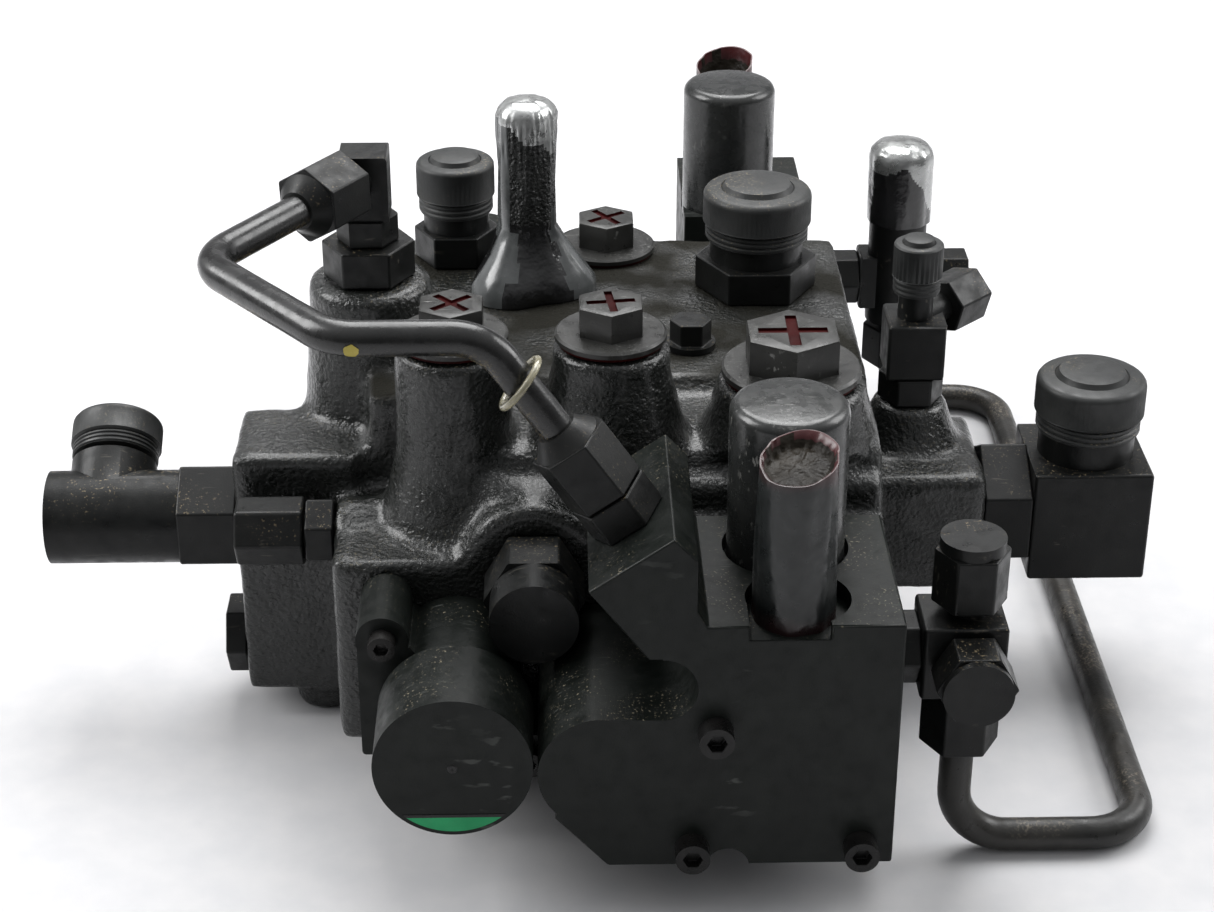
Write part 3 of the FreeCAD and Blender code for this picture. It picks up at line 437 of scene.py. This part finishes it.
def crossed_plug(node, flats, head, flange, cross_turn):
    low, high = (Vector(corner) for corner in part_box(node))
    x, y, top = (low.x + high.x) / 2, (low.y + high.y) / 2, high.z
    head_shape = bmesh.new()
    bmesh.ops.create_cone(head_shape, cap_ends=True, segments=6, radius1=flats / math.sqrt(3),
                          radius2=flats / math.sqrt(3), depth=head,
                          matrix=Matrix.Translation((x, y, top - head / 2)))
    upper = [e for e in head_shape.edges if all(v.co.z > top - 0.0001 for v in e.verts)]
    bmesh.ops.bevel(head_shape, geom=upper, offset=0.0013, segments=2, profile=0.5,
                    affect="EDGES", material=-1)
    piece = new_piece("visual_" + node, head_shape, plug_black)
    arms = bmesh.new()
    for turn in (0, math.pi / 2):
        arm = Matrix.Translation((x, y, top)) @ Matrix.Rotation(cross_turn + turn, 4, "Z")
        bmesh.ops.create_cube(arms, size=1, matrix=arm @ Matrix.Diagonal((flats * 0.78, flats * 0.13,
                                                                           CROSS_DEPTH * 2, 1)))
    cut_by(piece, new_piece("cross_tool", arms, cross_red, False))
    smooth_by_angle(piece)
    radius = (high.x - low.x) / 2
    seat = top - head - flange
    washer = bmesh.new()
    turned(washer, ((0, seat + 0.0001), (radius - 0.0012, seat + 0.0001),
                    (radius - 0.0012, seat + flange * 0.3), (radius, seat + flange * 0.36),
                    (radius, seat + flange * 0.8), (radius - 0.0012, top - head),
                    (radius * 0.7, top - head + 0.0003), (0, top - head + 0.0003)))
    bmesh.ops.translate(washer, vec=(x, y, 0), verts=washer.verts)
    washer_piece = new_piece("visual_" + node + "_flange", washer, plug_black)
    washer_piece.data.materials.append(cross_red)
    for face in washer_piece.data.polygons:
        if seat + 0.0002 < face.center.z < seat + flange * 0.34:
            face.material_index = 1
    smooth_by_angle(washer_piece)
    for part in (piece, washer_piece):
        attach(part, "valve")
    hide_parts(node)


for node, flats, head, flange, turn in (("left_tower_plug", 0.030, 0.015, 0.005, 0.72),
                                        ("middle_tower_plug", 0.030, 0.015, 0.005, 0.12),
                                        ("right_tower_plug", 0.043, 0.018, 0.006, 0.0),
                                        ("deck_plug", 0.030, 0.015, 0.005, 0.6)):
    crossed_plug(node, flats, head, flange, turn)

# Port caps: moulded black plastic shipping caps, pushed over the open unions. The upper skirt is
# ribbed for the fingers, three beads run round the foot, and a raised disc stands on top.
cap_black = finish("cap_black", (0.016, 0.017, 0.017), (0.030, 0.031, 0.030), 0.46, 1300, 0.00007,
                   dust=(0.22, 0.185, 0.12), dust_amount=0.25)
RIB_PITCH = 0.0026
RIB_RELIEF = 0.0006


def ribbed_cap(node, body, centre, axis, radius, height):
    """A cap whose foot is at a centre point and whose axis points to its top."""
    foot, shoulder, bead = height * 0.30, height - radius * 0.16, radius * 0.05
    points = [(0, 0), (radius - bead * 1.6, 0)]
    for ring in range(3):
        low = foot * (ring + 0.15) / 3
        points += [(radius - bead * 1.7, low), (radius - bead, low + foot * 0.08),
                   (radius - bead, low + foot * 0.2), (radius - bead * 1.7, low + foot * 0.28)]
    points += [(radius - bead * 1.2, foot), (radius, foot + bead), (radius, foot + bead * 1.4)]
    points += [(radius, shoulder)]
    for step in range(1, 5):
        angle = step * math.pi / 8
        points.append((radius - radius * 0.14 * (1 - math.cos(angle)),
                       shoulder + radius * 0.14 * math.sin(angle)))
    points += [(radius * 0.68, height), (radius * 0.66, height - 0.0006), (radius * 0.63, height + 0.0006),
               (radius * 0.60, height + 0.0022), (radius * 0.56, height + 0.0025), (0, height + 0.0025)]
    shape = bmesh.new()
    teeth = int(math.tau * radius / RIB_PITCH)
    turned(shape, points, teeth * 2)
    for vert in shape.verts:
        reach = math.hypot(vert.co.x, vert.co.y)
        if foot + bead < vert.co.z < shoulder + 0.0001 and reach > radius * 0.97:
            tooth = round(math.atan2(vert.co.y, vert.co.x) / math.tau * teeth * 2) % 2
            vert.co.xy *= (reach - RIB_RELIEF * tooth) / reach
    bmesh.ops.transform(shape, verts=shape.verts, matrix=Matrix.Translation(centre)
                        @ Vector((0, 0, 1)).rotation_difference(axis).to_matrix().to_4x4())
    piece = new_piece("visual_" + node, shape, cap_black)
    smooth_by_angle(piece, 40)
    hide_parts(node)
    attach(piece, body)


for node in ("rear_left_port_cap", "rear_right_port_cap", "right_port_cap", "corner_port_cap"):
    low, high = (Vector(corner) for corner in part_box(node))
    middle = (low + high) / 2
    ribbed_cap(node, node + "_part", Vector((middle.x, middle.y, low.z)), Vector((0, 0, 1)),
               (high.x - low.x) / 2, high.z - low.z - 0.0025)
LEAN = math.radians(32)
lean_way = Vector((0, math.cos(LEAN), math.sin(LEAN)))
low, high = (Vector(corner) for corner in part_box("left_port_cap"))
left_radius = (high.x - low.x) / 2
left_height = (high.y - low.y - 2 * left_radius * math.sin(LEAN)) / math.cos(LEAN)
left_foot = (low + high) / 2 - lean_way * left_height / 2
ribbed_cap("left_port_cap", "left_port_cap_part", left_foot, lean_way, left_radius, left_height - 0.0025)

# Canisters: deep-drawn steel cans over the relief springs, standing in the cover's pocket. The
# closed end is rolled to a soft shoulder, and they are sprayed glossy black.
can_black = finish("can_black", (0.012, 0.013, 0.013), (0.022, 0.023, 0.022), 0.26, 220, 0.00018, coat=0.25,
                   scuff=(0.16, 0.16, 0.15), dust=(0.16, 0.16, 0.155), dust_amount=0.2)
CAN_SHOULDER = 0.0055
for node in ("front_canister", "rear_canister"):
    low, high = (Vector(corner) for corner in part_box(node))
    radius, rise = (high.x - low.x) / 2, high.z - low.z
    points = [(0, 0), (radius, 0), (radius, rise - CAN_SHOULDER * 1.2)]
    for step in range(1, 9):
        angle = step * math.pi / 16
        points.append((radius - CAN_SHOULDER * (1 - math.cos(angle)),
                       rise - CAN_SHOULDER * 1.2 + CAN_SHOULDER * math.sin(angle)))
    points += [(radius * 0.5, rise - 0.0002), (0, rise)]
    can = bmesh.new()
    turned(can, points, 96)
    bmesh.ops.translate(can, vec=((low.x + high.x) / 2, (low.y + high.y) / 2, low.z), verts=can.verts)
    piece = new_piece("visual_" + node, can, can_black)
    smooth_by_angle(piece)
    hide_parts(node)
    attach(piece, "valve")

# Shrink sleeves: tubes of film drawn over the set adjusters so that tampering shows. Heat pulled
# them tight, left creases and a torn or crumpled end, and let the foot flare out in lobes.
sleeve_gloss = finish("sleeve_gloss", (0.006, 0.006, 0.006), (0.016, 0.016, 0.017), 0.13, 160, 0.0012,
                      coat=0.7)
film_silver = finish("film_silver", (0.26, 0.265, 0.26), (0.46, 0.465, 0.46), 0.27, 150, 0.0007, metallic=0.8)
film_grey = finish("film_grey", (0.040, 0.043, 0.043), (0.095, 0.10, 0.10), 0.2, 80, 0.0006, coat=0.5)
film_hammered = finish("film_hammered", (0.005, 0.0055, 0.005), (0.020, 0.021, 0.020), 0.24, 520,
                       0.0018, coat=0.3)
film_brown = finish("film_brown", (0.0075, 0.006, 0.0045), (0.022, 0.018, 0.013), 0.45, 210, 0.0014,
                    specular=0.15)


def stain(material, colour, low, high, wobble):
    """A colour that comes in with height along the piece, between two heights in metres."""
    nodes, links = material.node_tree.nodes, material.node_tree.links
    shader = nodes["Principled BSDF"]
    place, split = nodes.new("ShaderNodeTexCoord"), nodes.new("ShaderNodeSeparateXYZ")
    shift = nodes.new("ShaderNodeMath")
    links.new(place.outputs["Object"], split.inputs["Vector"])
    shift.operation = "MULTIPLY_ADD"
    shift.inputs[1].default_value = wobble
    links.new(pattern(material, 55, 3), shift.inputs[0])
    links.new(split.outputs["Z"], shift.inputs[2])
    rise = nodes.new("ShaderNodeMapRange")
    rise.inputs["From Min"].default_value = low
    rise.inputs["From Max"].default_value = high
    links.new(shift.outputs["Value"], rise.inputs["Value"])
    before = shader.inputs["Base Color"].links[0].from_socket
    links.new(blend_in(material, rise.outputs["Result"], before, colour), shader.inputs["Base Color"])


def film_tube(name, centre, points, materials, choose, crease, lobes=0, lobe_relief=0.0, lobe_top=0.0,
              steps=168, crumple=0.0, slant=0.0, pleats=None):
    """A creased tube of film. choose gives the material of a face from its middle and turn."""
    top = max(z for _, z in points)
    shape = bmesh.new()
    turned(shape, points, steps)
    for vert in shape.verts:
        reach = math.hypot(vert.co.x, vert.co.y)
        if crumple and reach < 0.0168 and vert.co.z > top * 0.6:
            vert.co.z -= abs(noise.noise(vert.co * 240)) * crumple
        vert.co.z -= slant * (0.5 - (0.5 * vert.co.x + 0.87 * vert.co.y) / 0.036) * (vert.co.z / top) ** 6
        if reach < 0.002:
            continue
        turn = math.atan2(vert.co.y, vert.co.x)
        fold = noise.noise(Vector((math.cos(turn) * 2.4, math.sin(turn) * 2.4, vert.co.z * 26)))
        wide = fold * crease
        if vert.co.z < lobe_top:
            wide += lobe_relief * math.cos(turn * lobes + 0.6) * (1 - vert.co.z / lobe_top) ** 0.6
        if pleats and pleats[0] < vert.co.z < pleats[1]:
            wide += 0.00045 * math.cos(turn * 28) * abs(noise.noise(vert.co * 90)) * 2
        vert.co.xy *= (reach + wide - crease * 0.6) / reach
    bmesh.ops.translate(shape, vec=centre, verts=shape.verts)
    piece = new_piece(name, shape, materials[0])
    for extra in materials[1:]:
        piece.data.materials.append(extra)
    for face in piece.data.polygons:
        spot = face.center - Vector(centre)
        face.material_index = choose(spot, math.atan2(spot.y, spot.x))
    smooth_by_angle(piece, 60)
    return piece


def wavy(turn, height, drop):
    """The uneven lower edge of a film, round its tube."""
    return height + drop * noise.noise(Vector((math.cos(turn) * 1.7, math.sin(turn) * 1.7, height * 40)))


def side_of(radius, low, high, rings):
    """A straight run of profile points, close enough together to crease."""
    return [(radius, low + (high - low) * ring / rings) for ring in range(rings + 1)]


low, high = (Vector(corner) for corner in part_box("center_relief_sleeve"))
column, tall = 0.0165, high.z - low.z
flare = (high.x - low.x) / 2
points = [(0, 0), (flare, 0), (flare, 0.006), (flare * 0.86, 0.013), (flare * 0.68, 0.022),
          (column * 1.15, 0.030)]
points += side_of(column, 0.036, tall - 0.009, 26)
points += [(column * 0.93, tall - 0.005), (column * 0.75, tall - 0.002), (column * 0.4, tall - 0.0008),
           (0, tall)]


def relief_film(spot, turn):
    """Silver over the top, grey flaps up both sides, hammered black in front, gloss at the foot."""
    if spot.z > wavy(turn, tall - 0.018 - 0.010 * math.cos(turn), 0.006):
        return 1
    on_lobe = spot.z < 0.034 and math.cos(turn * 3 + 0.6) > 0.1 + 0.9 * noise.noise(spot * 55)
    left_flap = abs(turn) > wavy(turn, 2.25, 0.25) and spot.z > 0.028
    right_flap = abs(turn) < 0.62 and 0.028 < spot.z < wavy(turn, tall * 0.56 - 0.02 * abs(turn), 0.01)
    if on_lobe or left_flap or right_flap:
        return 2
    return 3 if spot.z > 0.040 and turn < 0 else 0


relief_sleeve_piece = film_tube(
    "visual_center_relief_sleeve", ((low.x + high.x) / 2, (low.y + high.y) / 2, low.z), points,
    (sleeve_gloss, film_silver, film_grey, film_hammered), relief_film,
    0.0014, lobes=3, lobe_relief=0.0045, lobe_top=0.034, pleats=(tall - 0.034, tall - 0.006))
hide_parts("center_relief_sleeve")
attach(relief_sleeve_piece, "valve")

low, high = (Vector(corner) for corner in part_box("relief_sleeve"))
column, tall = (high.x - low.x) / 2, high.z - low.z
points = [(0, 0)] + side_of(column, 0, tall - 0.010, 24)
points += [(column * 0.95, tall - 0.006), (column * 0.8, tall - 0.0025), (column * 0.45, tall - 0.0006),
           (0, tall)]
tail_sleeve = film_tube(
    "visual_relief_sleeve", ((low.x + high.x) / 2, (low.y + high.y) / 2, low.z), points,
    (sleeve_gloss, film_silver),
    lambda spot, turn: 1 if spot.z > wavy(turn, tall - 0.013 - 0.026 * max(math.cos(turn), 0), 0.010) else 0,
    0.0009)
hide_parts("relief_sleeve")
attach(tail_sleeve, "valve")

for node in ("front_adjuster_sleeve", "rear_adjuster_sleeve"):
    low, high = (Vector(corner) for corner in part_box(node))
    wide, tall = (high.x - low.x) / 2, high.z - low.z
    dip = 0.006 if node.startswith("front") else 0.014
    points = [(0, 0)] + [(wide - (wide - 0.018) * ring / 24, tall * ring / 24) for ring in range(25)]
    points += [(0.0172, tall), (0.0160, tall - dip * 0.5)]
    points += [(0.0145 * (1 - ring / 9), tall - dip * (1 - 0.2 * ring / 9)) for ring in range(10)]
    smoke = finish(node + "_smoke", (0.006, 0.007, 0.007), (0.02, 0.022, 0.022), 0.32, 90, 0.0012, coat=0.18)
    stain(smoke, (0.050, 0.008, 0.009), high.z - 0.010, high.z + 0.002, 0.009)
    stain(smoke, (0.034, 0.008, 0.009), low.z + 0.018, low.z - 0.004, 0.018)
    adjuster_film = film_tube("visual_" + node, ((low.x + high.x) / 2, (low.y + high.y) / 2, low.z), points,
                              (smoke, film_brown),
                              lambda spot, turn: int(spot.xy.length < 0.0158 and spot.z > tall * 0.5), 0.0010,
                              crumple=0.0022, slant=0.011)
    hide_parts(node)
    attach(adjuster_film, "valve")

# Spring housings: turned caps that hold the spool's centring springs. The round end is faced and
# centre-drilled, and the front one has a spot of green paint low on its face.
for node in ("front_spring_housing", "rear_spring_housing"):
    dressed(node, milled_black, 0.0018)
green_mark = finish("green_mark", (0.004, 0.25, 0.085), (0.012, 0.34, 0.12), 0.4, 900, 0.00004)
FACE_LIFT = 0.0002
MARK_CHORD = 0.0268
low, high = (Vector(corner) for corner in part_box("front_spring_housing"))
face_x, face_z, face_radius = -0.057, 0.0845, 0.0345


def face_segment(name, radius, chord_low, chord_high, material, lift, shift=0.0):
    """A thin slice of a disc on the round face, between two level lines below its middle."""
    slice_shape = bmesh.new()
    bmesh.ops.create_circle(slice_shape, cap_ends=True, segments=128, radius=radius,
                            matrix=Matrix.Translation((face_x, low.y - lift, face_z - shift))
                            @ Matrix.Rotation(math.pi / 2, 4, "X"))
    for level, way in ((chord_high, 1), (chord_low, -1)):
        bmesh.ops.bisect_plane(slice_shape,
                               geom=slice_shape.verts[:] + slice_shape.edges[:] + slice_shape.faces[:],
                               plane_co=(0, 0, face_z - level), plane_no=(0, 0, way), clear_outer=True)
    piece = new_piece(name, slice_shape, material, False)
    thick = piece.modifiers.new("film", "SOLIDIFY")
    thick.thickness = FACE_LIFT
    thick.offset = 0
    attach(piece, "valve")


face_segment("green_paint_mark", face_radius, 0.05, MARK_CHORD, green_mark, FACE_LIFT)
lip_black = finish("lip_black", (0.004, 0.004, 0.004), (0.008, 0.008, 0.008), 0.3, 900, 0.00004)
# A thin black crescent laid along the green mark's upper edge.
face_segment("black_crescent_above_mark", face_radius, MARK_CHORD, MARK_CHORD - 0.0016, lip_black, FACE_LIFT)
dimple = bmesh.new()
turned(dimple, ((0, -0.0001), (0.0009, 0.0002), (0.0016, 0.00045), (0.0021, 0.0003), (0.0024, 0.0)), 32)
bmesh.ops.transform(dimple, verts=dimple.verts, matrix=Matrix.Translation((face_x, low.y, face_z))
                    @ Matrix.Rotation(math.pi / 2, 4, "X"))
dimple_piece = new_piece("centre_dimple", dimple, lip_black)
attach(dimple_piece, "valve")

# Tubes: seamless steel, bent cold and sprayed gloss black. Grit from the field sticks to the
# undersides, and a loose clear band rides where the pilot tube turns down.
tube_gloss = finish("tube_gloss", (0.006, 0.006, 0.006), (0.012, 0.012, 0.0115), 0.25, 700, 0.00008,
                    coat=0.22,
                    dust=(0.36, 0.28, 0.14), dust_below=True, dust_amount=0.75)
tube_satin = finish("tube_satin", (0.013, 0.013, 0.012), (0.028, 0.026, 0.023), 0.36, 700, 0.00012,
                    dust=(0.17, 0.145, 0.11), dust_amount=0.65)
dressed("pilot_tube", tube_gloss, 0.0003)
dressed("return_tube", tube_satin, 0.0003)
# An inspector's dab of yellow paint marks the tube at the start of its level run.
yellow_dab = finish("yellow_dab", (0.34, 0.27, 0.04), (0.46, 0.38, 0.08), 0.4, 600, 0.0002)
TUBE_RADIUS = 0.008
DAB_RADIUS = 0.0034
dab_middle = Vector((-0.096, -0.242, 0.280))
dab_turn = math.radians(-18)
dab = bmesh.new()
bmesh.ops.create_grid(dab, x_segments=12, y_segments=12, size=1)
for vert in dab.verts:
    u, v = vert.co.x, vert.co.y
    along, around = u * math.sqrt(1 - v * v / 2), v * math.sqrt(1 - u * u / 2)
    ragged = DAB_RADIUS * (1 + 0.22 * noise.noise(Vector((u * 1.6, v * 1.6, 3.1))))
    turn = dab_turn + around * ragged / TUBE_RADIUS
    reach = TUBE_RADIUS + 0.00025
    vert.co = dab_middle + Vector((along * ragged, -math.cos(turn) * reach, math.sin(turn) * reach))
dab_piece = new_piece("yellow_paint_dab", dab, yellow_dab)
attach(dab_piece, "valve")
band_clear = finish("band_clear", (0.36, 0.33, 0.22), (0.62, 0.58, 0.42), 0.12, 500, 0.0002, coat=0.5)
band_clear.node_tree.nodes["Principled BSDF"].inputs["Transmission Weight"].default_value = 0.6
dressed("tube_band", band_clear, 0.0003, body="tube_band_part")

# Spools, springs and poppets: ground and polished steel inside the casting, bare and oiled.
ground_steel = finish("ground_steel", (0.42, 0.42, 0.41), (0.55, 0.55, 0.54), 0.2, 1800, 0.00002,
                      metallic=1.0)
spring_wire = finish("spring_wire", (0.18, 0.17, 0.16), (0.3, 0.29, 0.27), 0.32, 1500, 0.00003, metallic=0.9)
for node in ("left_spool", "right_spool", "left_check_poppet", "middle_check_poppet"):
    inner = frame["nodes"][node].data
    inner.materials.clear()
    inner.materials.append(ground_steel)
# Each spring is copied in its imported shape and dressed in spring wire.
for joint in frame["record"]["behaviour"]["joints"]:
    for coil_entry in joint.get("deforming_nodes", []):
        node, seat = coil_entry["node"], coil_entry["fixed_end_y_m"]
        low, high = (Vector(corner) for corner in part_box(node))
        coil = new_piece("visual_" + node, copied(node), spring_wire)
        smooth_by_angle(coil, 60)
        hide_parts(node)
        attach(coil, "valve")
        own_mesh(coil)
